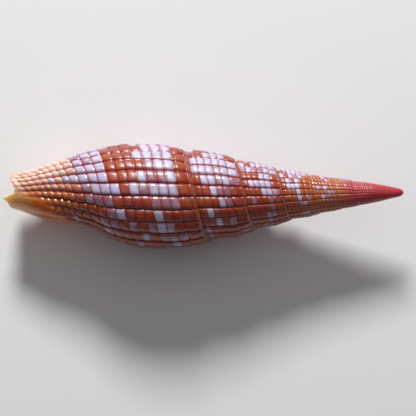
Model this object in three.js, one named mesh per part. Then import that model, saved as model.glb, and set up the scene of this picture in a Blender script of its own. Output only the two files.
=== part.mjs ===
// A mitre shell: a slender, right-handed sea-snail shell with strong ribs, lying on its aperture.
// Millimetres, +Z up, apex toward +X. The origin is under the middle of the shell's box.
//
// The shell grew by winding one whorl round a straight axis. Here a place on its outside is given
// by "turn" (how far the winding had come: 0 at the finished lip, -1 one whorl earlier) and by
// "fraction" (how far down the whorl from its upper suture: 0 at the suture, 1 at the next one).
// Distances along the axis are measured from the apex. Angles round the axis are measured from the
// middle of the back, rising over the lip side, the way the shell grew.

import * as THREE from "three";
import { ParametricGeometry } from "three/addons/geometries/ParametricGeometry.js";
import { mergeGeometries, mergeVertices } from "three/addons/utils/BufferGeometryUtils.js";

// Size and coiling
const SHELL_LENGTH = 50;
const WHORL_GROWTH = 1.27;
const POLE_GAP = 2.75; // the sutures shrink toward a point this far beyond the apex
const CORNER_DISTANCE = 28.6; // where the suture meets the lip, at the back corner of the aperture
const LIP_ANGLE = 150;
const SPIRE_WHORLS = 8;
const APEX_ROUNDING = 0.7; // length over which the apex is rounded off

// Outlines, each as [distance from the apex, radius]
const CREST_OUTLINE = [
  [0, 0.5], [2.1, 0.88], [5.1, 1.45], [8.1, 2.0], [12.6, 2.9], [17.9, 4.25],
  [20.9, 5.05], [23.9, 5.75], [26.6, 6.33], [28.6, 6.55], [50, 6.55],
];
const COLUMELLA_OUTLINE = [
  [24.9, 5.94], [26.6, 6.0], [29.1, 5.94], [30.9, 5.75], [32.2, 5.38], [33.6, 4.75],
  [35, 3.9], [36.6, 3.2], [38.9, 2.7], [41.9, 2.4], [44.9, 2.05], [47.9, 1.5], [50, 1.0],
];
const COLUMELLA_SIDE_OUTLINE = [
  [23.9, 5.75], [26.6, 6.33], [28.4, 6.54], [30.4, 6.58], [32.1, 6.53], [33.6, 6.3],
  [35.1, 5.91], [36.6, 5.4], [38.1, 4.5], [38.9, 4.19], [40.4, 3.95], [43.4, 3.79],
  [44.9, 3.55], [46.4, 3.03], [47.9, 2.5], [48.9, 2.19], [50, 1.6],
];
const LIP_SIDE_OUTLINE = [
  [23.9, 5.75], [26.6, 6.33], [28.4, 6.58], [30.6, 6.66], [32.9, 6.64], [34.4, 6.58],
  [35.9, 6.33], [37.4, 6.09], [38.9, 5.56], [40.4, 5.08], [41.9, 4.44], [43.4, 3.94],
  [44.9, 3.44], [46.4, 2.81], [47.9, 2.48], [48.9, 2.25], [50, 1.75],
];
const COLUMELLA_SIDE_TURN = -2 / 3;
const LIP_SIDE_TURN = -1 / 6;
const LIP_FLARE = 0.07; // the finished lip turns out by this share of the radius
const LIP_FLARE_START = -0.07; // turn
const LIP_FLARE_RISE = 4; // length below the corner over which the flare grows

// The whorl's swelling between two sutures, as [fraction, share of the way to the crest]
const SPIRE_SWELL = [
  [0, 0], [0.05, 0.59], [0.21, 0.86], [0.45, 1], [0.6, 0.75], [0.8, 0.48], [0.95, 0.25], [1, 0],
];
const BODY_SWELL_LOW = [[0, 0], [0.04, 0.86], [0.2, 1], [1, 1]];
const BODY_SWELL_HIGH = [[0, 0], [0.04, 0.2], [0.137, 0.64], [0.236, 0.85], [0.45, 1], [1, 1]];
const BODY_SWELL_COMPLETE = -0.75; // turn by which the last whorl's own swelling holds alone
const SUTURE_DEPTH = 0.11; // share of the crest radius
const SUTURE_STRENGTH = [[2.2, 0], [6, 0.4], [12, 0.6], [17, 1]];
const BAND_GROOVE_FRACTION = 0.33;
const BAND_GROOVE_DEPTH = 0.14;

// Ribs
const RIBS = 24;
const RIB_DEPTH = 0.055; // share of the radius
const RIBS_FULL_DISTANCE = 6; // they grow in between the smooth tip and here
const LIP_RIB_FADE = 0.05; // fraction below the suture over which they fade at the lip
const GLAZE_EDGE_TURN = -0.95; // the glaze and the folds beside the aperture end here

// The smooth side of the neck ends at this line, as [distance, angle], and the ribs fade in
const FASCIOLE_EDGE = [
  [34, -210], [38, -190], [41, -90], [42, -57], [43, -43], [44.75, -18], [47, -6], [48, 0],
];
const FASCIOLE_FADE = [-15, 10]; // angles either side of the line

// The axis bows a little toward the lip side, as [distance, offset]
const AXIS_BOW = [
  [0, 0.42], [8, 0.25], [14, 0.1], [21, -0.08], [27, -0.06], [33, 0.04],
  [37, 0.16], [40, 0.42], [43, 0.68], [50, 0.68],
];

// The open end of the siphonal neck, as [angle, distance]
const NECK_END = [
  [-210, 48.6], [-150, 48.2], [-90, 48.9], [-53, 49.4], [-30, 50], [-12, 49.3],
  [0, 48.3], [15, 48.6], [45, 49.1], [90, 48.9], [150, 48.6],
];

// Aperture: its cavity reaches in under the last whorl, as [distance, angle]
const CAVITY_REACH = [[28.6, 0], [30, 60], [33, 105], [40, 120], [45, 160], [50, 195]];
const WALL = 0.7;
const WALL_SHARE = 0.45; // of the space between lip and columella, where that is thinner
const FURROW_COVER = 0.15; // least wall under the dips between the ribs
const LEAST_GAP = 0.02; // between the cavity's two walls
const CAVITY_TURNBACK = [0.42, 0.58]; // share of the way round where one wall passes to the other

// Low folds that wind round the columella
const FOLD_COUNT = 4;
const FOLD_FIRST = 31.6;
const FOLD_PITCH = 1.35;
const FOLD_HEIGHT = 0.35;
const FOLD_TAPER = 6; // the folds' height would fall to nothing after this many

// Pose: rolled so that the aperture is down, then tipped end to end by the last degree
const REST_ROLL = 86.89;
const REST_PITCH = -2.03;

// Facets
const COLUMNS_PER_RIB = 3;
const COLUMNS = RIBS * COLUMNS_PER_RIB;
const SPIRE_ROWS = [0, 0.05, 0.42, 0.78];
const BODY_ROWS = [0, 0.05, 0.22, 0.33, 0.45, 0.75, 1, 1.2, 1.37, 1.5, 1.6, 1.7, 1.8, 1.9, 2, 2.09];
const CAP_ROWS = 3;
const CAP_DISTANCE = 2.2; // where the smooth tip begins
const CAVITY_COLUMNS = 24;
const HIDDEN_ROW_STEP = 0.1; // fraction between the rows that all lie on the neck's open end
const WELD_DISTANCE = 1e-3;

// A smooth line through the given points that never overshoots them
function lineThrough(points, x) {
  const last = points.length - 1;
  if (x <= points[0][0]) return points[0][1];
  if (x >= points[last][0]) return points[last][1];
  let i = 0;
  while (x > points[i + 1][0]) i += 1;
  const slope = (k) => (points[k + 1][1] - points[k][1]) / (points[k + 1][0] - points[k][0]);
  const tangent = (k) => {
    if (k === 0 || k === last) return 0;
    const before = slope(k - 1);
    const after = slope(k);
    return before * after <= 0 ? 0 : (2 * before * after) / (before + after);
  };
  const span = points[i + 1][0] - points[i][0];
  const s = (x - points[i][0]) / span;
  const fromStart = points[i][1] * (1 + 2 * s) + tangent(i) * span * s;
  const fromEnd = points[i + 1][1] * (3 - 2 * s) - tangent(i + 1) * span * (1 - s);
  return fromStart * (1 - s) ** 2 + fromEnd * s ** 2;
}

const mix = THREE.MathUtils.lerp;
const ease = THREE.MathUtils.smoothstep;

const angleAt = (turn) => LIP_ANGLE + 360 * turn;

// Angle of a turn, brought into the last whorl's range
const lastWhorlAngle = (turn) => LIP_ANGLE + 360 * (turn - Math.ceil(turn));

function distanceAt(turn, fraction) {
  const fromPole = (CORNER_DISTANCE + POLE_GAP) * WHORL_GROWTH ** (turn + fraction);
  return fromPole - POLE_GAP;
}

function fractionAt(turn, distance) {
  const grown = (distance + POLE_GAP) / (CORNER_DISTANCE + POLE_GAP);
  return Math.log(grown) / Math.log(WHORL_GROWTH) - turn;
}

// The fraction at which the lip reaches the neck's far end
const NECK_FRACTION = fractionAt(0, SHELL_LENGTH);

const crestRadius = (distance) => {
  const dome = Math.min(distance / APEX_ROUNDING, 1);
  return lineThrough(CREST_OUTLINE, distance) * Math.sqrt(1 - (1 - dome) ** 2);
};

const sutureRadius = (distance) =>
  crestRadius(distance) * (1 - SUTURE_DEPTH * lineThrough(SUTURE_STRENGTH, distance));

const spireRadius = (distance, fraction) =>
  mix(sutureRadius(distance), crestRadius(distance), lineThrough(SPIRE_SWELL, fraction));

// The last whorl's outline changes as it grows round from the columella to the lip
function lastWhorlOutline(distance, turn) {
  const stations = [
    [-1, lineThrough(COLUMELLA_OUTLINE, distance)],
    [COLUMELLA_SIDE_TURN, lineThrough(COLUMELLA_SIDE_OUTLINE, distance)],
    [LIP_SIDE_TURN, lineThrough(LIP_SIDE_OUTLINE, distance)],
    [0, lineThrough(LIP_SIDE_OUTLINE, distance)],
  ];
  if (distance < COLUMELLA_OUTLINE[0][0]) return crestRadius(distance);
  const belowCorner = ease(distance - CORNER_DISTANCE, 0, LIP_FLARE_RISE);
  const flare = LIP_FLARE * ease(turn, LIP_FLARE_START, 0) * belowCorner;
  return lineThrough(stations, turn) * (1 + flare);
}

function lastWhorlRadius(distance, turn, fraction) {
  const outline = lastWhorlOutline(distance, turn);
  if (fraction > 1) return outline;
  const low = lineThrough(BODY_SWELL_LOW, fraction);
  const high = lineThrough(BODY_SWELL_HIGH, fraction);
  const swell = mix(low, high, ease(turn, COLUMELLA_SIDE_TURN, LIP_SIDE_TURN));
  const grown = mix(sutureRadius(distance), outline, swell);
  return mix(spireRadius(distance, fraction), grown, ease(turn, -1, BODY_SWELL_COMPLETE));
}

// Ribs run along the shell, with a narrow dip between two of them at every whole rib angle
function ribDip(angle) {
  const phase = angle / (360 / RIBS);
  const fromDip = Math.abs(phase - Math.round(phase));
  return 1 - ease(fromDip, 0, 1 / COLUMNS_PER_RIB);
}

function ribStrength(distance, turn, fraction) {
  if (turn < -1) return ease(distance, CAP_DISTANCE, RIBS_FULL_DISTANCE);
  const fromFasciole = angleAt(turn) - lineThrough(FASCIOLE_EDGE, distance);
  const fasciole = distance > FASCIOLE_EDGE[0][0] ? ease(fromFasciole, ...FASCIOLE_FADE) : 1;
  const glaze = fraction > 1 ? ease(turn, -1, GLAZE_EDGE_TURN) : 1;
  const lip = 1 - ease(turn, -1 / RIBS, 0) * ease(fraction, 0, LIP_RIB_FADE);
  return fasciole * glaze * lip;
}

// The height that the folds add to the columella
function columellaFolds(distance, turn) {
  const along = (distance - FOLD_FIRST) / FOLD_PITCH - turn - 1;
  if (along < 0 || along > FOLD_COUNT) return 0;
  const height = FOLD_HEIGHT * (1 - along / FOLD_TAPER) * (1 - ease(turn, -1, GLAZE_EDGE_TURN));
  return height * Math.sin(Math.PI * along) ** 2;
}

function outsideRadius(distance, turn, fraction) {
  const onSpire = turn < -1;
  const smooth = onSpire
    ? spireRadius(distance, fraction)
    : lastWhorlRadius(distance, turn, fraction);
  const rib = RIB_DEPTH * smooth * ribStrength(distance, turn, fraction) * ribDip(angleAt(turn));
  const groove = fraction === BAND_GROOVE_FRACTION && turn > -1 ? BAND_GROOVE_DEPTH : 0;
  const fold = fraction > 1 ? columellaFolds(distance, turn) : 0;
  return smooth - rib - groove + fold;
}

// Places a point given by its distance from the apex, its radius and its angle
function place(distance, radius, angle, target) {
  const roll = THREE.MathUtils.degToRad(angle + REST_ROLL);
  const bow = THREE.MathUtils.degToRad(90 + REST_ROLL);
  const offset = lineThrough(AXIS_BOW, distance);
  const y = -radius * Math.cos(roll) - offset * Math.cos(bow);
  const z = radius * Math.sin(roll) + offset * Math.sin(bow);
  return target.set(-distance, y, z);
}

const neckEnd = (turn) => lineThrough(NECK_END, lastWhorlAngle(turn));

function outsidePoint(turn, fraction, target) {
  const free = distanceAt(turn, fraction);
  const distance = turn >= -1 ? Math.min(free, neckEnd(turn)) : Math.max(free, CAP_DISTANCE);
  return place(distance, outsideRadius(distance, turn, fraction), angleAt(turn), target);
}

// Row numbers: the spire's rows come first, then the last whorl's
const FIRST_LAST_WHORL_ROW = SPIRE_WHORLS * SPIRE_ROWS.length;
const LAST_ROW = FIRST_LAST_WHORL_ROW + SPIRE_ROWS.length + BODY_ROWS.length;

function lipRowFraction(row) {
  const beyond = row - BODY_ROWS.length;
  return beyond < 0 ? BODY_ROWS[row] : NECK_FRACTION + HIDDEN_ROW_STEP * beyond;
}

function columellaRowFraction(row) {
  return row < SPIRE_ROWS.length ? SPIRE_ROWS[row] : 1 + lipRowFraction(row - SPIRE_ROWS.length);
}

function gridPoint(column, row, target) {
  const around = column / COLUMNS;
  if (row >= FIRST_LAST_WHORL_ROW) {
    const bodyRow = row - FIRST_LAST_WHORL_ROW;
    const fraction = mix(columellaRowFraction(bodyRow), lipRowFraction(bodyRow), around);
    return outsidePoint(around - 1, fraction, target);
  }
  const whorl = Math.floor(row / SPIRE_ROWS.length) - SPIRE_WHORLS;
  return outsidePoint(whorl + around - 1, SPIRE_ROWS[row % SPIRE_ROWS.length], target);
}

const outside = () =>
  new ParametricGeometry(
    (u, v, target) => gridPoint(Math.round(u * COLUMNS), Math.round(v * LAST_ROW), target),
    COLUMNS,
    LAST_ROW,
  );

const apexCap = () =>
  new ParametricGeometry(
    (u, v, target) => {
      const distance = CAP_DISTANCE * v;
      return place(distance, crestRadius(distance), angleAt(u), target);
    },
    COLUMNS,
    CAP_ROWS,
  );

// The cavity's two walls at a distance and turn: the last whorl's inside, and the columella
function cavityWalls(distance, turn) {
  const outer = lastWhorlRadius(distance, turn, fractionAt(turn, distance));
  const folded = lastWhorlOutline(distance, -1) + columellaFolds(distance, -1);
  const gap = Math.max(lastWhorlRadius(distance, 0, fractionAt(0, distance)) - folded, 0);
  const underFurrows = (RIB_DEPTH * outer + FURROW_COVER) * ease(-turn, 0, 1 / RIBS);
  const shellWall = outer - Math.max(Math.min(WALL, WALL_SHARE * gap), underFurrows);
  return [shellWall, Math.min(folded * WHORL_GROWTH ** turn, shellWall - LEAST_GAP)];
}

// The aperture's inside: from the lip edge in under the last whorl, and back along the columella
function cavityPoint(row, column, target) {
  const lipFraction = lipRowFraction(row);
  if (column === 0 || row === 0) return outsidePoint(0, lipFraction, target);
  if (column === CAVITY_COLUMNS) return outsidePoint(-1, 1 + lipFraction, target);
  const around = column / CAVITY_COLUMNS;
  const depth = 1 - Math.abs(2 * around - 1);
  const lipDistance = Math.min(distanceAt(0, lipFraction), neckEnd(0));
  const turn = (-lineThrough(CAVITY_REACH, lipDistance) * depth) / 360;
  const distance = Math.min(lipDistance, neckEnd(turn));
  const [shellWall, columella] = cavityWalls(distance, turn);
  const radius = mix(shellWall, columella, ease(around, ...CAVITY_TURNBACK));
  return place(distance, radius, angleAt(turn), target);
}

const cavity = () =>
  new ParametricGeometry(
    (u, v, target) =>
      cavityPoint(Math.round(v * BODY_ROWS.length), Math.round(u * CAVITY_COLUMNS), target),
    CAVITY_COLUMNS,
    BODY_ROWS.length,
  );

// The rim closes the wall at the open end of the neck, from the cavity's edge to the outside's
const neckRim = () =>
  new ParametricGeometry(
    (u, v, target) => {
      if (v === 0) return cavityPoint(BODY_ROWS.length, Math.round(u * CAVITY_COLUMNS), target);
      return outsidePoint(-u, NECK_FRACTION + 1, target);
    },
    COLUMNS,
    1,
  );

// Joins the patches into one closed body and drops the faces that closed up to nothing
function closedBody(patches) {
  patches.forEach((patch) => ["normal", "uv"].forEach((name) => patch.deleteAttribute(name)));
  const body = mergeVertices(mergeGeometries(patches), WELD_DISTANCE);
  const corners = body.getIndex().array;
  const kept = [];
  for (let i = 0; i < corners.length; i += 3) {
    const [a, b, c] = corners.slice(i, i + 3);
    if (a !== b && b !== c && c !== a) kept.push(a, b, c);
  }
  body.setIndex(kept);
  return body;
}

function shellMesh() {
  const body = closedBody([outside(), apexCap(), cavity(), neckRim()]);
  body.rotateY(THREE.MathUtils.degToRad(REST_PITCH));
  body.computeBoundingBox();
  const box = body.boundingBox;
  body.translate(-(box.min.x + box.max.x) / 2, -(box.min.y + box.max.y) / 2, -box.min.z);
  body.computeVertexNormals();
  const porcelain = new THREE.MeshStandardMaterial({ color: "#b5512a", roughness: 0.3, metalness: 0 });
  const mesh = new THREE.Mesh(body, porcelain);
  mesh.name = "shell";
  return mesh;
}

const mitreShell = new THREE.Group();
mitreShell.add(shellMesh());

export default mitreShell;
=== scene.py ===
import math
import random
import bmesh
import bpy
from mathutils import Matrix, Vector, noise


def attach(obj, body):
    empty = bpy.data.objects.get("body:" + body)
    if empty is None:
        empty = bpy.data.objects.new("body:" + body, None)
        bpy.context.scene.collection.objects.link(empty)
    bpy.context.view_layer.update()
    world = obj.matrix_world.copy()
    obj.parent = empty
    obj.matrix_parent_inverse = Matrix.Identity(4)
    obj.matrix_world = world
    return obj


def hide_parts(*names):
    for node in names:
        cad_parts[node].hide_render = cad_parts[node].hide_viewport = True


# A mitre shell lying on its aperture, apex toward +X. Shell measures are in millimetres until the
# points are placed, and everything in Blender is in metres.
#
# The shell grew by winding one whorl round an axis. A place on its outside is given by "turn" (how
# far the winding had come: 0 at the finished lip, -1 one whorl earlier) and by "cord" (the number
# of spiral cords below the whorl's upper suture). Distances are measured along the axis from the
# apex, and angles from the middle of the back, rising over the lip side.

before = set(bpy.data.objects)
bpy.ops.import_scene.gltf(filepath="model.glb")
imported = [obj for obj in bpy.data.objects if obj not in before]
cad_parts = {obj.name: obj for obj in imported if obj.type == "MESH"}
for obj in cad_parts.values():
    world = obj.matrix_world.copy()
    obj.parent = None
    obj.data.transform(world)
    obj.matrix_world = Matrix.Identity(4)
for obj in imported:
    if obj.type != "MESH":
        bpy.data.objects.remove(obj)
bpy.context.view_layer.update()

MM = 0.001

# Size and coiling
SHELL_LENGTH = 50
WHORL_GROWTH = 1.27
POLE_GAP = 2.75
CORNER_DISTANCE = 28.6 # where the finished lip meets the whorl before it
LIP_ANGLE = 150
SPIRE_WHORLS = 8
CAP_DISTANCE = 2.2 # the apex is a plain cap up to here

# Outlines, each as (distance from the apex, radius)
CREST_OUTLINE = [
    (0, 0.5), (2.1, 0.88), (5.1, 1.45), (8.1, 2.0), (12.6, 2.9), (17.9, 4.25),
    (20.9, 5.05), (23.9, 5.75), (26.6, 6.33), (28.6, 6.55), (50, 6.55),
]
COLUMELLA_OUTLINE = [
    (24.9, 5.94), (26.6, 6.0), (29.1, 5.94), (30.9, 5.75), (32.2, 5.38), (33.6, 4.75),
    (35, 3.9), (36.6, 3.2), (38.9, 2.7), (41.9, 2.4), (44.9, 2.05), (47.9, 1.5), (50, 1.0),
]
COLUMELLA_SIDE_OUTLINE = [
    (23.9, 5.75), (26.6, 6.33), (28.4, 6.54), (30.4, 6.58), (32.1, 6.53), (33.6, 6.3),
    (35.1, 5.91), (36.6, 5.4), (38.1, 4.5), (38.9, 4.19), (40.4, 3.95), (43.4, 3.79),
    (44.9, 3.55), (46.4, 3.03), (47.9, 2.5), (48.9, 2.19), (50, 1.6),
]
LIP_SIDE_OUTLINE = [
    (23.9, 5.75), (26.6, 6.33), (28.4, 6.58), (30.6, 6.66), (32.9, 6.64), (34.4, 6.58),
    (35.9, 6.33), (37.4, 6.09), (38.9, 5.56), (40.4, 5.08), (41.9, 4.44), (43.4, 3.94),
    (44.9, 3.44), (46.4, 2.81), (47.9, 2.48), (48.9, 2.25), (50, 1.75),
]
COLUMELLA_SIDE_TURN = -2 / 3
LIP_SIDE_TURN = -1 / 6
DOME_DISTANCE = 0.7 # the apex is rounded off within this distance

# The whorl's swelling between two sutures, as (fraction of the whorl, share of the way to the crest)
SPIRE_SWELL = [
    (0, 0), (0.05, 0.59), (0.21, 0.86), (0.45, 1), (0.6, 0.75), (0.8, 0.48), (0.95, 0.25), (1, 0),
]
BODY_SWELL_LOW = [(0, 0), (0.04, 0.86), (0.2, 1), (1, 1)]
BODY_SWELL_HIGH = [(0, 0), (0.04, 0.2), (0.137, 0.64), (0.236, 0.85), (0.45, 1), (1, 1)]
BODY_SWELL_TURN = -0.75 # from the last whorl's start to here, the spire's swelling turns into the body's
SUTURE_DEPTH = 0.11
SUTURE_STRENGTH = [(2.2, 0), (6, 0.4), (12, 0.6), (17, 1)]

# Lip
LIP_FLARE = 0.07
LIP_FLARE_START = -0.07 # by the turn
LIP_FLARE_RISE = 4 # the flare grows over this distance from the corner
LIP_PLAIN_FRACTION = 0.05 # from this fraction of the whorl on, the relief fades out at the lip's edge

# Ribs and spiral cords
RIBS = 24
RIB_DEPTH = 0.055
RIB_SHARPNESS = (7, 2) # how narrow the furrows are, on the whorls and on the neck
CORD_SHARPNESS = (6, 2)
FULL_RELIEF_DISTANCE = 6 # from the cap to here, the relief on the spire grows
BAND_FRACTION = 0.3
EDGE_FRACTION = 0.09
BAND_CORDS = 2
WHORL_CORDS = 7
BODY_CORD_GROWTH = 1.19
BODY_CORD_TURN = -0.6
NECK_CORD = 13 # from here the cords are narrower
NECK_CORD_SHARE = 0.72
EDGE_RELIEF = 0.35
EDGE_RELIEF_CORDS = (0.6, 1.3) # the relief is weak at the suture's edge and full within the second cord
CORD_DEPTH = 0.1
CORD_DEPTH_RADIUS = 6.5 # where the shell is this thick, the cords have their full depth
BAND_GROOVE_DEPTH = 0.2
NECK_BEADING = (37, 43) # distances over which the cords grow into rows of beads
NECK_CORD_GAIN = 3
NECK_RIB_GAIN = 1.8

# How far the growth strays from the regular shape
UNEVENNESS = 0.09
UNEVEN_SIZE = 2.2
UNEVEN_SEED = 3

# The smooth fasciole, as (distance, angle of its edge), and the angles over which it fades there
FASCIOLE_EDGE = [
    (34, -210), (38, -190), (41, -90), (42, -57), (43, -43), (44.75, -18), (47, -6), (48, 0),
]
FASCIOLE_FADE = (-15, 10)
SMOOTH_RIM = 1.2 # width of the neck's smooth edge

# The axis bows a little toward the lip side, as (distance, offset)
AXIS_BOW = [
    (0, 0.42), (8, 0.25), (14, 0.1), (21, -0.08), (27, -0.06),
    (33, 0.04), (37, 0.16), (40, 0.42), (43, 0.68), (50, 0.68),
]

# The open end of the siphonal neck, as (angle, distance)
NECK_END = [
    (-210, 48.6), (-150, 48.2), (-90, 48.9), (-53, 49.4), (-30, 50), (-12, 49.3),
    (0, 48.3), (15, 48.6), (45, 49.1), (90, 48.9), (150, 48.6),
]

# Aperture
WALL = 0.7
WALL_SHARE = 0.45
FURROW_COVER = 0.2 # least wall under the furrows
LEAST_GAP = 0.02 # least space between the wall and the columella
CAVITY_REACH = [(28.6, 0), (30, 60), (33, 105), (40, 120), (45, 160), (50, 195)]
CAVITY_TURN_BACK = (0.42, 0.58) # share of the way in and back where the wall gives way to the columella
GLAZE_END = -0.95 # the glaze beside the aperture fades out by this turn
FOLD_COUNT = 4
FOLD_FIRST = 31.6
FOLD_PITCH = 1.35
FOLD_HEIGHT = 0.35
FOLD_END = -0.94 # the folds run out by this turn
FOLD_TAPER = FOLD_COUNT + 2 # each fold is lower than the one before, to nothing after so many

# Pose
REST_ROLL = 86.89
REST_PITCH = -2.03

# Mesh steps within one rib and one cord, closer together where the furrows are
RIB_STEPS = [0, 0.08, 0.19, 0.38, 0.62, 0.81, 0.92]
CORD_STEPS = [0, 0.12, 0.3, 0.7, 0.88]
COLUMNS = RIBS * len(RIB_STEPS)
WHORL_ROWS = WHORL_CORDS * len(CORD_STEPS)
LAST_WHORL_CORDS = 36
LIP_CORDS = LAST_WHORL_CORDS - WHORL_CORDS
LIP_ROWS = LIP_CORDS * len(CORD_STEPS)
LAST_WHORL_START = SPIRE_WHORLS * WHORL_ROWS
ROWS = LAST_WHORL_START + LAST_WHORL_CORDS * len(CORD_STEPS)
CAP_ROWS = 8
CAVITY_COLUMNS = 56
CAVITY_EDGE_STEPS = 2 # the outside's colour gives way to the cavity's within so many columns
RIM_ROWS = 3
WELD_DISTANCE = 0.002
PLAIN_PLACE = (0.5, 1.5) # rib and cord numbers for the parts without furrows
LIP_RIB = LIP_ANGLE * RIBS / 360 # ribs are numbered from the middle of the last whorl's back
ROUNDING = 0.01 # keeps a whole rib or cord number from falling to the one before

# The pattern of white cells: the chance of white on each cord below the suture
SPIRE_WHITE = [0, 0.5, 0.8, 0.85, 0.6, 0.4, 0.35]
BODY_WHITE = [0, 0.2, 1, 0.97, 0.9, 0.5, 0.3, 0.2, 0.35, 0.87, 0.87, 0.62, 0.25, 0.03]
# White gathers on one side of every whorl. These go by the number of ribs from the middle of its
# back: the share of the chances above, and the share of the pale cells that are mauve. Mauve is
# partly the cells' own colour and partly painted shade: more pale cells are dull mauve on the lower side.
SPIRE_SIDE_WHITE = [(-12, 0.7), (-5, 0.35), (-1, 0.65), (2, 1.3), (6, 1.5), (12, 0.7)]
BODY_SIDE_WHITE = [(-12, 0.7), (-6, 0.45), (-3, 0.6), (0, 1)]
YOUNG_WHITE = [(-100, 0.4), (-56, 1)] # by the rib, up the spire
SHADED_SIDE_MAUVE = [(-12, 0.5), (-6, 0.9), (-1, 0.6), (1, 0.15), (6, 0.12), (12, 0.5)]
CELL_SEED = 2400
LILAC_SEED = 23
MAUVE_WHITENESS = 0.6 # how white a mauve cell is marked
MAUVE_FULL = 0.5 # the whiteness at which the colour is mauve, on its way from brown to white

# Colours
BROWN = "#9E3206"
BROWN_LIGHT = "#A64E18"
SPIRE_BROWN = "#BE6420"
CRIMSON = "#B8303C"
# The neck's peach is partly its own colour and partly painted light: the neck is paler on its upper side.
LIT_NECK_PEACH = "#FCDACC"
NECK_BROWN = "#C0641E"
NECK_CREAM = "#FBDCC0"
MAUVE = "#A06C7C"
LAVENDER_WHITE = "#CCC4E0"
FURROW_RED = "#8E0E10"
NECK_FURROW = "#B4502E"
GROWTH_LINE = "#A04A10"
SUTURE_TAN = "#9A5F42"
FASCIOLE_BROWN = "#DC6A0C"
# Painted light in part: the tip's amber is paler than its own colour, for a tip that lies in shade.
LIT_TIP_AMBER = "#FFC07C"
INNER_CREAM = "#F0DCC4"

# Where each colour begins and where it is full, by the distance as a share of the shell's length
SPIRE_BROWN_ZONE = (0.33, 0.2)
CRIMSON_ZONE = (0.17, 0.12)
WHITE_ZONE = (0.125, 0.14)
SUTURE_TAN_ZONE = (0.1, 0.14)
NECK_COLOUR_ZONE = (0.74, 0.88)
NECK_CREAM_ZONE = (0.93, 0.98)
NECK_FURROW_ZONE = (0.8, 0.9)
LIT_TIP_AMBER_ZONE = (0.89, 0.98)
# Where the neck's peach, partly painted light on its upper side, gives way to brown below.
NECK_LIT_TOP_RIBS = (3.2, -1) # round the neck, by the rib
SUTURE_TAN_CORDS = (0.75, 0.45) # below the suture, by the cord
SUTURE_TAN_STRENGTH = 0.8

# Patches and lines: sizes in millimetres, the part of the noise that shows, and strengths
MOTTLE_SIZE = 2.5
MOTTLE_RANGE = (0.35, 0.7)
TINT_SIZE = 1.6 # patches in which cells shade into one another
TINT_RANGE = (0.25, 0.75)
TINT = 0.75
GROWTH_LINE_SIZE = 0.6
GROWTH_LINE_STRETCH = (0.12, 1, 1) # the lines run along the shell
GROWTH_LINE_RANGE = (0.5, 0.75)
GROWTH_LINE_STRENGTH = 0.5
STRIA_HEIGHT = 0.03

# Furrow colour: half-widths as a share of a rib or cord, and strengths. Beside the furrows
# the colour is painted shade that darkens each cell toward its furrows.
RIB_FURROW = 0.13
CORD_FURROW = 0.08
FURROW_FLOOR = 0.3 # share of its width that has the full colour
PAINTED_FURROW_SHADE_WIDTH = 0.32
PAINTED_FURROW_SHADE = 0.25
FURROW_STRENGTH_ZONE = (0.12, 0.4)
FURROW_STRENGTH = (0.45, 0.9) # on the young whorls and on the later ones

# Surface
ARAGONITE_IOR = 1.63
POLISH_ZONE = (0.72, 0.9)
ROUGHNESS = (0.34, 0.09) # on the whorls and on the neck
COAT = 0.2
COAT_ROUGHNESS = 0.12
TRANSLUCENCE = (0.08, 0.9) # on the ribbed shell and on the smooth fasciole
TRANSLUCENT_DEPTH = 2 # in millimetres
TRANSLUCENT_COLOURS = (1, 0.6, 0.4) # how far red, green and blue light go in, as shares of that depth
CARD_WHITE = "#F6F6F6"
CARD_ROUGHNESS = 0.9
CARD_SIZE = 1.0

# The photograph's frame, 416 pixels wide: the shell's two ends and the height of its axis
PHOTO_SIZE = 416
PHOTO_NECK_X = 3.5
PHOTO_APEX_X = 403
PHOTO_AXIS_Y = 196

# Camera, in degrees and metres, with its sensor in millimetres
CAMERA_ELEVATION = 86.89
CAMERA_DISTANCE = 0.45
SENSOR_WIDTH = 36
AXIS_HEIGHT = 0.0064

# Light, in metres and watts: a small window beyond the top of the picture, a broad, faint fill above
# the shell, and a dim grey studio all round
LIGHT_TARGET = (0, 0, 0.006)
WINDOW_PLACE = (-0.03, 0.36, 0.235)
WINDOW_SIZE = 0.1
WINDOW_POWER = 1.98
WINDOW_WHITE = "#FFFFFF"
FILL_PLACE = (0, 0.16, 0.6)
FILL_SIZE = 0.7
FILL_POWER = 0.5
FILL_WHITE = "#FFFAF6"
STUDIO_GREY = "#E8ECF4"
STUDIO_STRENGTH = 0.12

# Kinds of shader node, each with its settings
PRINCIPLED = ("ShaderNodeBsdfPrincipled", {})
SURFACE_OUTPUT = ("ShaderNodeOutputMaterial", {})
MIX = ("ShaderNodeMix", {"data_type": "RGBA"})
RANGE = ("ShaderNodeMapRange", {})
EASED_RANGE = ("ShaderNodeMapRange", {"interpolation_type": "SMOOTHSTEP"})
PLUS = ("ShaderNodeMath", {"operation": "ADD"})
TIMES = ("ShaderNodeMath", {"operation": "MULTIPLY"})
PING_PONG = ("ShaderNodeMath", {"operation": "PINGPONG"})
STRETCH = ("ShaderNodeVectorMath", {"operation": "MULTIPLY"})
NOISE = ("ShaderNodeTexNoise", {})
BUMP = ("ShaderNodeBump", {})
OBJECT_PLACE = ("ShaderNodeTexCoord", {})
GROWTH_NUMBERS = ("ShaderNodeUVMap", {"uv_map": "growth"})
SEPARATE = ("ShaderNodeSeparateXYZ", {})


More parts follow.
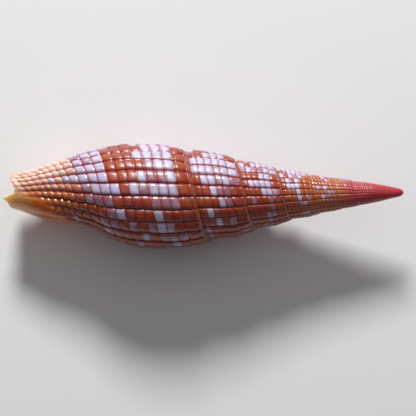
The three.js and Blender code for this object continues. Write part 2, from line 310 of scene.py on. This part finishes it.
def line_through(points, x):
    """A smooth line through the given points that never overshoots them."""
    last = len(points) - 1
    if x <= points[0][0]:
        return points[0][1]
    if x >= points[last][0]:
        return points[last][1]
    i = 0
    while x > points[i + 1][0]:
        i += 1

    def slope(k):
        return (points[k + 1][1] - points[k][1]) / (points[k + 1][0] - points[k][0])

    def tangent(k):
        if k == 0 or k == last:
            return 0
        before, after = slope(k - 1), slope(k)
        return 0 if before * after <= 0 else 2 * before * after / (before + after)

    span = points[i + 1][0] - points[i][0]
    s = (x - points[i][0]) / span
    value = points[i][1] * (1 + 2 * s) * (1 - s) ** 2 + points[i + 1][1] * s * s * (3 - 2 * s)
    return value + span * (tangent(i) * s * (1 - s) ** 2 - tangent(i + 1) * s * s * (1 - s))


def mix(a, b, share):
    return a + (b - a) * share


def ease(x, start, end):
    s = min(max((x - start) / (end - start), 0), 1)
    return s * s * (3 - 2 * s)


def angle_at(turn):
    return LIP_ANGLE + 360 * turn


def pole_distance(turn, fraction=0.0):
    return (CORNER_DISTANCE + POLE_GAP) * WHORL_GROWTH ** (turn + fraction)


def fraction_at(turn, cord):
    """How far down its whorl a cord lies: a narrow edge at the suture, one broad cord, then even ones."""
    suture = pole_distance(turn)
    edge, band = pole_distance(turn, EDGE_FRACTION), pole_distance(turn, BAND_FRACTION)
    if cord <= 1:
        place = mix(suture, edge, cord)
    elif cord <= BAND_CORDS:
        place = mix(edge, band, cord - 1)
    else:
        grown = min(turn, -1)
        whorl = pole_distance(grown, 1) - pole_distance(grown, BAND_FRACTION)
        widening = mix(1, BODY_CORD_GROWTH, ease(turn, -1, BODY_CORD_TURN))
        grown_since = WHORL_GROWTH ** max(turn - BODY_CORD_TURN, 0)
        pitch = whorl / (WHORL_CORDS - BAND_CORDS) * widening * grown_since
        narrowed = max(cord - NECK_CORD, 0) * (1 - NECK_CORD_SHARE)
        place = band + (cord - BAND_CORDS - narrowed) * pitch
    return math.log(place / suture) / math.log(WHORL_GROWTH)


def fraction_below(turn, distance):
    """How far down its whorl a distance lies."""
    grown = (distance + POLE_GAP) / (CORNER_DISTANCE + POLE_GAP)
    return math.log(grown) / math.log(WHORL_GROWTH) - turn


def crest_radius(distance):
    dome = min(distance / DOME_DISTANCE, 1)
    return line_through(CREST_OUTLINE, distance) * math.sqrt(1 - (1 - dome) ** 2)


def suture_radius(distance):
    return crest_radius(distance) * (1 - SUTURE_DEPTH * line_through(SUTURE_STRENGTH, distance))


def spire_radius(distance, fraction):
    return mix(suture_radius(distance), crest_radius(distance), line_through(SPIRE_SWELL, fraction))


def last_whorl_outline(distance, turn):
    """The last whorl's outline changes as it grows round from the columella to the lip."""
    if distance < COLUMELLA_OUTLINE[0][0]:
        return crest_radius(distance)
    lip_side = line_through(LIP_SIDE_OUTLINE, distance)
    stations = [
        (-1, line_through(COLUMELLA_OUTLINE, distance)),
        (COLUMELLA_SIDE_TURN, line_through(COLUMELLA_SIDE_OUTLINE, distance)),
        (LIP_SIDE_TURN, lip_side),
        (0, lip_side),
    ]
    rise = ease(distance, CORNER_DISTANCE, CORNER_DISTANCE + LIP_FLARE_RISE)
    flare = LIP_FLARE * ease(turn, LIP_FLARE_START, 0) * rise
    return line_through(stations, turn) * (1 + flare)


def last_whorl_radius(distance, turn, fraction):
    outline = last_whorl_outline(distance, turn)
    if fraction > 1:
        return outline
    to_lip_side = ease(turn, COLUMELLA_SIDE_TURN, LIP_SIDE_TURN)
    low, high = line_through(BODY_SWELL_LOW, fraction), line_through(BODY_SWELL_HIGH, fraction)
    grown = mix(suture_radius(distance), outline, mix(low, high, to_lip_side))
    return mix(spire_radius(distance, fraction), grown, ease(turn, -1, BODY_SWELL_TURN))


def smooth_zone(distance, turn):
    """1 on the smooth fasciole beside the neck's notch, 0 on the ribbed rest."""
    if turn < -1 or distance < FASCIOLE_EDGE[0][0]:
        return 0
    edge = line_through(FASCIOLE_EDGE, distance)
    return 1 - ease(angle_at(turn), edge + FASCIOLE_FADE[0], edge + FASCIOLE_FADE[1])


def relief_strength(distance, turn, fraction):
    if turn < -1:
        return ease(distance, CAP_DISTANCE, FULL_RELIEF_DISTANCE)
    glaze = ease(turn, -1, GLAZE_END) if fraction > 1 else 1
    lip = 1 - ease(turn, -1 / RIBS, 0) * ease(fraction, 0, LIP_PLAIN_FRACTION)
    rim = ease(neck_end(turn) - distance, 0, SMOOTH_RIM)
    return glaze * lip * rim * (1 - smooth_zone(distance, turn))


def rib_dip(angle, roundness):
    phase = angle / (360 / RIBS)
    return abs(2 * (phase - math.floor(phase)) - 1) ** mix(*RIB_SHARPNESS, roundness)


def cord_dip(cord, roundness):
    depth = BAND_GROOVE_DEPTH if round(cord) == BAND_CORDS else CORD_DEPTH
    return depth * abs(2 * (cord - math.floor(cord)) - 1) ** mix(*CORD_SHARPNESS, roundness)


def columella_folds(distance, turn):
    along = (distance - FOLD_FIRST) / FOLD_PITCH - turn - 1
    if along < 0 or along > FOLD_COUNT:
        return 0
    fade = 1 - ease(turn, -1, FOLD_END)
    return FOLD_HEIGHT * math.sin(math.pi * along) ** 2 * fade * (1 - along / FOLD_TAPER)


def outside_radius(distance, turn, cord, fraction):
    if turn < -1:
        smooth = spire_radius(distance, fraction)
    else:
        smooth = last_whorl_radius(distance, turn, fraction)
    strength = relief_strength(distance, turn, fraction) * mix(EDGE_RELIEF, 1, ease(cord, *EDGE_RELIEF_CORDS))
    neck = ease(distance, *NECK_BEADING)
    rib = RIB_DEPTH * smooth * strength * mix(1, NECK_RIB_GAIN, neck) * rib_dip(angle_at(turn), neck)
    size = min(smooth / CORD_DEPTH_RADIUS, 1) * mix(1, NECK_CORD_GAIN, neck)
    fold = columella_folds(distance, turn) if fraction > 1 else 0
    return smooth - rib - cord_dip(cord, neck) * strength * size + fold


def place(distance, radius, angle):
    """A point on the shell before the shell is laid on the floor, in millimetres."""
    roll = math.radians(angle + REST_ROLL)
    bow = math.radians(90 + REST_ROLL)
    offset = line_through(AXIS_BOW, distance)
    y = -radius * math.cos(roll) - offset * math.cos(bow)
    z = radius * math.sin(roll) + offset * math.sin(bow)
    point = Vector((-distance, y, z))
    return point + noise.noise_vector(point / UNEVEN_SIZE) * UNEVENNESS


def neck_end(turn):
    return line_through(NECK_END, LIP_ANGLE + 360 * (turn - math.ceil(turn)))


def outside_place(turn, cord):
    """Distance, radius and whorl fraction at a turn and cord."""
    if turn == -1 and cord == WHORL_CORDS:
        turn, cord = 0, 0 # where the finished lip meets the whorl before it
    fraction = fraction_at(turn, cord)
    free = pole_distance(turn, fraction) - POLE_GAP
    if turn < -1:
        distance = max(free, CAP_DISTANCE)
    else:
        distance = min(free, neck_end(turn))
    crest_cord = cord if distance == free else math.floor(cord) + 0.5 # no cord furrow where it is cut off
    return distance, outside_radius(distance, turn, crest_cord, fraction), fraction


def outside_point(turn, cord):
    distance, radius, _ = outside_place(turn, cord)
    return place(distance, radius, angle_at(turn))


def rib_at(column):
    return column // len(RIB_STEPS) + RIB_STEPS[column % len(RIB_STEPS)]


def cord_at(row):
    return row // len(CORD_STEPS) + CORD_STEPS[row % len(CORD_STEPS)]


def grid_turn_and_cord(column, row):
    around = rib_at(column) / RIBS
    if row >= LAST_WHORL_START:
        return around - 1, cord_at(row - LAST_WHORL_START)
    whorl = row // WHORL_ROWS - SPIRE_WHORLS
    return whorl + around - 1, cord_at(row % WHORL_ROWS)


def cavity_point(row, step):
    """Inside the aperture: from the lip edge in under the last whorl and back along the columella."""
    along = step / CAVITY_COLUMNS
    cord = cord_at(row)
    if step == 0 or row == 0:
        return outside_point(0, cord)
    if step == CAVITY_COLUMNS:
        return outside_point(-1, cord + WHORL_CORDS)
    lip_distance = min(pole_distance(0, fraction_at(0, cord)) - POLE_GAP, neck_end(0))
    depth = 1 - abs(2 * along - 1)
    angle = LIP_ANGLE - line_through(CAVITY_REACH, lip_distance) * depth
    turn = (angle - LIP_ANGLE) / 360
    distance = min(lip_distance, neck_end(turn))
    outer = last_whorl_radius(distance, turn, fraction_below(turn, distance))
    columella = last_whorl_outline(distance, -1) + columella_folds(distance, -1)
    inner = columella * WHORL_GROWTH ** turn
    gap = max(last_whorl_radius(distance, 0, fraction_below(0, distance)) - columella, 0)
    under_furrows = (RIB_DEPTH * outer + FURROW_COVER) * ease(-turn, 0, 1 / RIBS)
    wall = max(min(WALL, WALL_SHARE * gap), under_furrows)
    shell_wall = outer - wall
    radius = mix(shell_wall, min(inner, shell_wall - LEAST_GAP), ease(along, *CAVITY_TURN_BACK))
    return place(distance, radius, angle)


def grid(mesh, columns, rows):
    """A flat grid of new points, each with its column and row."""
    made = bmesh.ops.create_grid(mesh, x_segments=columns, y_segments=rows, size=0.5)
    return [(v, round((v.co.x + 0.5) * columns), round((v.co.y + 0.5) * rows)) for v in made["verts"]]


def add_outside(mesh, layers):
    for point, column, row in grid(mesh, COLUMNS, ROWS):
        turn, cord = grid_turn_and_cord(column, row)
        distance, radius, fraction = outside_place(turn, cord)
        point[layers["along"]] = distance / SHELL_LENGTH
        point[layers["smooth"]] = smooth_zone(distance, turn)
        point[layers["glaze"]] = 1 - ease(turn, -1, GLAZE_END) if turn >= -1 and fraction > 1 else 0
        point[layers["column"]] = column
        point[layers["row"]] = row
        point.co = place(distance, radius, angle_at(turn))
    for face in mesh.faces:
        mark_growth(face, layers)


def mark_growth(face, layers):
    """Gives a face its rib and cord numbers, and says how white its cell of the pattern is."""
    first_row = min(v[layers["row"]] for v in face.verts)
    if first_row >= LAST_WHORL_START:
        whorl, start = -1, LAST_WHORL_START
    else:
        whorl = first_row // WHORL_ROWS - SPIRE_WHORLS - 1
        start = first_row - first_row % WHORL_ROWS
    ribs, cords = [], []
    for loop in face.loops:
        ribs.append(rib_at(loop.vert[layers["column"]]) + RIBS * whorl + LIP_RIB)
        cords.append(cord_at(loop.vert[layers["row"]] - start))
        loop[layers["growth"]].uv = (ribs[-1], cords[-1])
    cell = [math.floor(min(numbers) + ROUNDING) for numbers in (ribs, cords)]
    face[layers["white"]] = cell_whiteness(*cell)


def cell_whiteness(rib, cord):
    """How white the cell where a rib crosses a cord is: 0 brown, 1 white."""
    on_spire = rib < LIP_RIB - RIBS
    chances = SPIRE_WHITE if on_spire else BODY_WHITE
    side = (rib + RIBS / 2) % RIBS - RIBS / 2
    side_share = line_through(SPIRE_SIDE_WHITE if on_spire else BODY_SIDE_WHITE, side)
    chance = chances[min(cord, len(chances) - 1)] * side_share * line_through(YOUNG_WHITE, rib)
    if drawn(CELL_SEED, rib, cord) > chance:
        return 0
    # Painted shade in part: pale cells are drawn mauve rather than white more often on the lower side.
    return 1 if drawn(LILAC_SEED, rib, cord) > line_through(SHADED_SIDE_MAUVE, side) else MAUVE_WHITENESS


def drawn(seed, *cell):
    """A number from 0 to 1 that is always the same for a cell."""
    return random.Random(f"{seed} {cell}").random()


def add_apex(mesh, layers):
    for point, column, row in grid(mesh, COLUMNS, CAP_ROWS):
        distance = CAP_DISTANCE * (row / CAP_ROWS) ** 2
        point[layers["along"]] = distance / SHELL_LENGTH
        point.co = place(distance, crest_radius(distance), angle_at(rib_at(column) / RIBS - 1))


def add_cavity(mesh, layers):
    for point, step, row in grid(mesh, CAVITY_COLUMNS, LIP_ROWS):
        point.co = cavity_point(row, step)
        from_lip, from_columella = step / CAVITY_EDGE_STEPS, (CAVITY_COLUMNS - step) / CAVITY_EDGE_STEPS
        point[layers["along"]] = -point.co.x / SHELL_LENGTH
        point[layers["inside"]] = min(from_lip, 1) * min(from_columella, 1)


def add_rim(mesh, layers):
    for point, column, row in grid(mesh, COLUMNS, RIM_ROWS):
        inner = cavity_point(LIP_ROWS, round(column / COLUMNS * CAVITY_COLUMNS))
        outer = outside_point(rib_at(COLUMNS - column) / RIBS - 1, LAST_WHORL_CORDS)
        point.co = inner.lerp(outer, row / RIM_ROWS)
        point[layers["along"]] = -point.co.x / SHELL_LENGTH
        point[layers["smooth"]] = 1


def new_shell_mesh():
    noise.seed_set(UNEVEN_SEED)
    mesh = bmesh.new()
    layers = {name: mesh.verts.layers.float.new(name) for name in ("along", "smooth", "inside", "glaze")}
    layers["column"] = mesh.verts.layers.int.new("column")
    layers["row"] = mesh.verts.layers.int.new("row")
    layers["white"] = mesh.faces.layers.float.new("white")
    layers["growth"] = mesh.loops.layers.uv.new("growth")
    for add in (add_outside, add_apex, add_cavity, add_rim):
        add(mesh, layers)
    for face in mesh.faces:
        for loop in face.loops:
            if not loop[layers["growth"]].uv.length:
                loop[layers["growth"]].uv = PLAIN_PLACE
    bmesh.ops.remove_doubles(mesh, verts=mesh.verts, dist=WELD_DISTANCE)
    bmesh.ops.dissolve_degenerate(mesh, dist=WELD_DISTANCE, edges=mesh.edges)
    bmesh.ops.recalc_face_normals(mesh, faces=mesh.faces)
    return mesh


def lay_on_floor(mesh):
    """Tips the shell into its resting pose, stands it on z = 0 and centres it, in metres."""
    pitch = math.radians(REST_PITCH)
    for v in mesh.verts:
        x, y, z = v.co
        v.co = (x * math.cos(pitch) + z * math.sin(pitch), y, z * math.cos(pitch) - x * math.sin(pitch))
    low = Vector([min(v.co[i] for v in mesh.verts) for i in range(3)])
    high = Vector([max(v.co[i] for v in mesh.verts) for i in range(3)])
    origin = Vector(((low.x + high.x) / 2, (low.y + high.y) / 2, low.z))
    for v in mesh.verts:
        v.co = (v.co - origin) * MM


def new_piece(name, mesh):
    """Puts a finished mesh in the scene as an object."""
    data = bpy.data.meshes.new(name)
    mesh.to_mesh(data)
    mesh.free()
    piece = bpy.data.objects.new(name, data)
    bpy.context.scene.collection.objects.link(piece)
    return piece


def make_shell():
    mesh = new_shell_mesh()
    lay_on_floor(mesh)
    for face in mesh.faces:
        face.smooth = True
    return new_piece("mitre_shell", mesh)


def linear(hex_colour):
    """sRGB hex to linear RGBA."""
    channels = [int(hex_colour[i : i + 2], 16) / 255 for i in (1, 3, 5)]
    return [c / 12.92 if c <= 0.04045 else ((c + 0.055) / 1.055) ** 2.4 for c in channels] + [1]


def node(tree, kind, *values, **named):
    """Adds a node with its settings, sets or links its inputs, in order or by name, and gives its output."""
    kind_name, settings = kind
    made = tree.nodes.new(kind_name)
    for setting, value in settings.items():
        setattr(made, setting, value)
    inputs = [socket for socket in made.inputs if socket.enabled]
    pairs = list(zip(inputs, values)) + [(made.inputs[name], value) for name, value in named.items()]
    for socket, value in pairs:
        if isinstance(value, bpy.types.NodeSocket):
            tree.links.new(value, socket)
        else:
            socket.default_value = value
    return next((socket for socket in made.outputs if socket.enabled), None)


def new_material(name):
    material = bpy.data.materials.new(name)
    material.use_nodes = True
    material.node_tree.nodes.clear()
    return material


def mesh_places(tree):
    """What the mesh says of each place: its zones, its rib and cord numbers and where it is."""
    at = {}
    for name in ("along", "smooth", "inside", "glaze", "white"):
        attribute = ("ShaderNodeAttribute", {"attribute_name": name})
        at[name] = node(tree, attribute).node.outputs["Fac"]
    numbers = node(tree, SEPARATE, node(tree, GROWTH_NUMBERS)).node
    at["rib"], at["cord"] = numbers.outputs["X"], numbers.outputs["Y"]
    at["object"] = node(tree, OBJECT_PLACE).node.outputs["Object"]
    return at


def ground_colours(tree, at):
    """Orange-brown on the whorls, with lighter patches, and peach to brown round the neck: the peach on the
    neck's upper side is partly its own colour and partly painted light.
    """
    mottling = node(tree, NOISE, at["object"], Scale=1 / (MOTTLE_SIZE * MM), Detail=2)
    mottled = node(tree, EASED_RANGE, mottling, *MOTTLE_RANGE)
    brown = node(tree, MIX, mottled, linear(BROWN), linear(BROWN_LIGHT))
    on_spire = node(tree, EASED_RANGE, at["along"], *SPIRE_BROWN_ZONE)
    colour = node(tree, MIX, on_spire, brown, linear(SPIRE_BROWN))
    # Painted light in part: peach on the neck's upper side, brown below.
    below_lit_top = node(tree, EASED_RANGE, at["rib"], *NECK_LIT_TOP_RIBS)
    neck = node(tree, MIX, below_lit_top, linear(LIT_NECK_PEACH), linear(NECK_BROWN))
    colour = node(tree, MIX, node(tree, EASED_RANGE, at["along"], *NECK_COLOUR_ZONE), colour, neck)
    at_tip = node(tree, EASED_RANGE, at["along"], *NECK_CREAM_ZONE)
    return node(tree, MIX, at_tip, colour, linear(NECK_CREAM))


def white_cells(tree, at, colour):
    """Cells of mauve and lavender white, which shade a little into one another."""
    tints = node(tree, NOISE, at["object"], Scale=1 / (TINT_SIZE * MM), Detail=3)
    tint = node(tree, RANGE, tints, *TINT_RANGE, -TINT / 2, TINT / 2)
    below_apex = node(tree, EASED_RANGE, at["along"], *WHITE_ZONE)
    white = node(tree, TIMES, node(tree, PLUS, at["white"], tint), below_apex)
    colour = node(tree, MIX, node(tree, EASED_RANGE, white, 0, MAUVE_FULL), colour, linear(MAUVE))
    return node(tree, MIX, node(tree, EASED_RANGE, white, MAUVE_FULL, 1), colour, linear(LAVENDER_WHITE))


def suture_edge(tree, at):
    """How tan the narrow edge below each suture is."""
    near_suture = node(tree, EASED_RANGE, at["cord"], *SUTURE_TAN_CORDS)
    below_apex = node(tree, EASED_RANGE, at["along"], *SUTURE_TAN_ZONE)
    return node(tree, TIMES, node(tree, TIMES, near_suture, below_apex), SUTURE_TAN_STRENGTH)


def furrow(tree, number, half_width):
    """1 in the furrow at every whole number of ribs or cords, 0 between."""
    off_centre = node(tree, PING_PONG, number, 0.5)
    return node(tree, EASED_RANGE, off_centre, half_width, half_width * FURROW_FLOOR)


def furrows(tree, at, edge, colour):
    """Dark crimson in the furrows, and beside them painted shade that darkens each cell toward its furrows,
    paler on the neck.
    """
    on_neck = node(tree, EASED_RANGE, at["along"], *NECK_FURROW_ZONE)
    furrow_colour = node(tree, MIX, on_neck, linear(FURROW_RED), linear(NECK_FURROW))
    ribbed = node(tree, EASED_RANGE, at["smooth"], 1, 0)
    strength = node(tree, RANGE, at["along"], *FURROW_STRENGTH_ZONE, *FURROW_STRENGTH)
    weak_on_edge = node(tree, RANGE, edge, 0, 1, 1, EDGE_RELIEF)
    parts = [
        # Painted shade: the first two darken each cell toward the furrows round it.
        (furrow(tree, at["rib"], PAINTED_FURROW_SHADE_WIDTH), PAINTED_FURROW_SHADE),
        (furrow(tree, at["cord"], PAINTED_FURROW_SHADE_WIDTH), PAINTED_FURROW_SHADE),
        (furrow(tree, at["cord"], CORD_FURROW), strength),
        (node(tree, TIMES, furrow(tree, at["rib"], RIB_FURROW), weak_on_edge), strength),
    ]
    for shape, strongest in parts:
        share = node(tree, TIMES, node(tree, TIMES, shape, ribbed), strongest)
        colour = node(tree, MIX, share, colour, furrow_colour)
    return colour


def growth_lines(tree, at):
    """Fine lines along the shell: slight relief all over, and colour on the fasciole."""
    stretched = node(tree, STRETCH, at["object"], GROWTH_LINE_STRETCH)
    return node(tree, NOISE, stretched, Scale=1 / (GROWTH_LINE_SIZE * MM), Detail=3)


def fasciole(tree, at, lines, colour):
    """Glossy amber-brown beside the notch, lighter at the tip, with darker growth lines. The tip's lighter
    amber is partly its own colour and partly painted light.
    """
    # Painted light in part: paler amber toward the tip.
    at_tip = node(tree, EASED_RANGE, at["along"], *LIT_TIP_AMBER_ZONE)
    amber = node(tree, MIX, at_tip, linear(FASCIOLE_BROWN), linear(LIT_TIP_AMBER))
    colour = node(tree, MIX, at["smooth"], colour, amber)
    lined = node(tree, TIMES, node(tree, EASED_RANGE, lines, *GROWTH_LINE_RANGE), at["smooth"])
    return node(tree, MIX, node(tree, TIMES, lined, GROWTH_LINE_STRENGTH), colour, linear(GROWTH_LINE))


def polished_shell():
    """Polished aragonite: orange-brown cells between dark red furrows, white cells in bands, all
    under a clear gloss that puts a small bright spot on the upper edge of every cell."""
    material = new_material("polished_aragonite")
    tree = material.node_tree
    at = mesh_places(tree)
    colour = white_cells(tree, at, ground_colours(tree, at))
    colour = node(tree, MIX, node(tree, EASED_RANGE, at["along"], *CRIMSON_ZONE), colour, linear(CRIMSON))
    edge = suture_edge(tree, at)
    colour = furrows(tree, at, edge, node(tree, MIX, edge, colour, linear(SUTURE_TAN)))
    lines = growth_lines(tree, at)
    colour = fasciole(tree, at, lines, colour)
    for zone in ("glaze", "inside"):
        colour = node(tree, MIX, at[zone], colour, linear(INNER_CREAM))
    surface = node(tree, PRINCIPLED, **{
        "Base Color": colour,
        "Roughness": node(tree, RANGE, at["along"], *POLISH_ZONE, *ROUGHNESS),
        "IOR": ARAGONITE_IOR,
        "Normal": node(tree, BUMP, Strength=1, Distance=STRIA_HEIGHT * MM, Height=lines),
        "Coat Weight": COAT,
        "Coat Roughness": COAT_ROUGHNESS,
        "Subsurface Weight": node(tree, RANGE, at["smooth"], 0, 1, *TRANSLUCENCE),
        "Subsurface Radius": TRANSLUCENT_COLOURS,
        "Subsurface Scale": TRANSLUCENT_DEPTH * MM,
    })
    node(tree, SURFACE_OUTPUT, surface)
    return material


def matt_card():
    """Matt white card: an even pale ground with no reflection of the shell."""
    material = new_material("matt_white_card")
    tree = material.node_tree
    card = {"Base Color": linear(CARD_WHITE), "Roughness": CARD_ROUGHNESS}
    node(tree, SURFACE_OUTPUT, node(tree, PRINCIPLED, **card))
    return material


def make_floor():
    mesh = bmesh.new()
    bmesh.ops.create_grid(mesh, x_segments=1, y_segments=1, size=CARD_SIZE)
    floor = new_piece("floor", mesh)
    floor.data.materials.append(matt_card())


def area_light(name, place, size, power, colour):
    """A round light that shines on the shell."""
    data = bpy.data.lights.new(name, "AREA")
    data.shape = "DISK"
    data.size = size
    data.energy = power
    data.color = linear(colour)[:3]
    light = bpy.data.objects.new(name, data)
    light.location = place
    light.rotation_euler = (Vector(LIGHT_TARGET) - Vector(place)).to_track_quat("-Z", "Y").to_euler()
    bpy.context.scene.collection.objects.link(light)


def make_lights():
    area_light("window", WINDOW_PLACE, WINDOW_SIZE, WINDOW_POWER, WINDOW_WHITE)
    area_light("fill", FILL_PLACE, FILL_SIZE, FILL_POWER, FILL_WHITE)
    world = bpy.data.worlds.new("studio")
    world.use_nodes = True
    background = world.node_tree.nodes["Background"].inputs
    background["Color"].default_value = linear(STUDIO_GREY)
    background["Strength"].default_value = STUDIO_STRENGTH
    bpy.context.scene.world = world


def make_camera():
    """Frames the shell as the photograph does, its two ends and its axis at the same pixels."""
    data = bpy.data.cameras.new("camera")
    data.sensor_width = SENSOR_WIDTH
    camera = bpy.data.objects.new("camera", data)
    bpy.context.scene.collection.objects.link(camera)
    width = SHELL_LENGTH * MM * PHOTO_SIZE / (PHOTO_APEX_X - PHOTO_NECK_X)
    data.lens = data.sensor_width * CAMERA_DISTANCE / width
    pixel = width / PHOTO_SIZE
    look_x = (PHOTO_SIZE / 2 - (PHOTO_APEX_X + PHOTO_NECK_X) / 2) * pixel
    elevation = math.radians(CAMERA_ELEVATION)
    axis = Vector((look_x, 0, AXIS_HEIGHT))
    up = Vector((0, math.sin(elevation), math.cos(elevation)))
    back = Vector((0, -math.cos(elevation), math.sin(elevation)))
    target = axis + up * (PHOTO_AXIS_Y - PHOTO_SIZE / 2) * pixel
    camera.location = target + back * CAMERA_DISTANCE
    camera.rotation_euler = (math.radians(90) - elevation, 0, 0)
    bpy.context.scene.camera = camera


shell = make_shell()
shell.data.materials.append(polished_shell())
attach(shell, "root")
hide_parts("shell")
make_floor()
make_camera()
make_lights()
bpy.context.scene.view_settings.view_transform = "Standard"
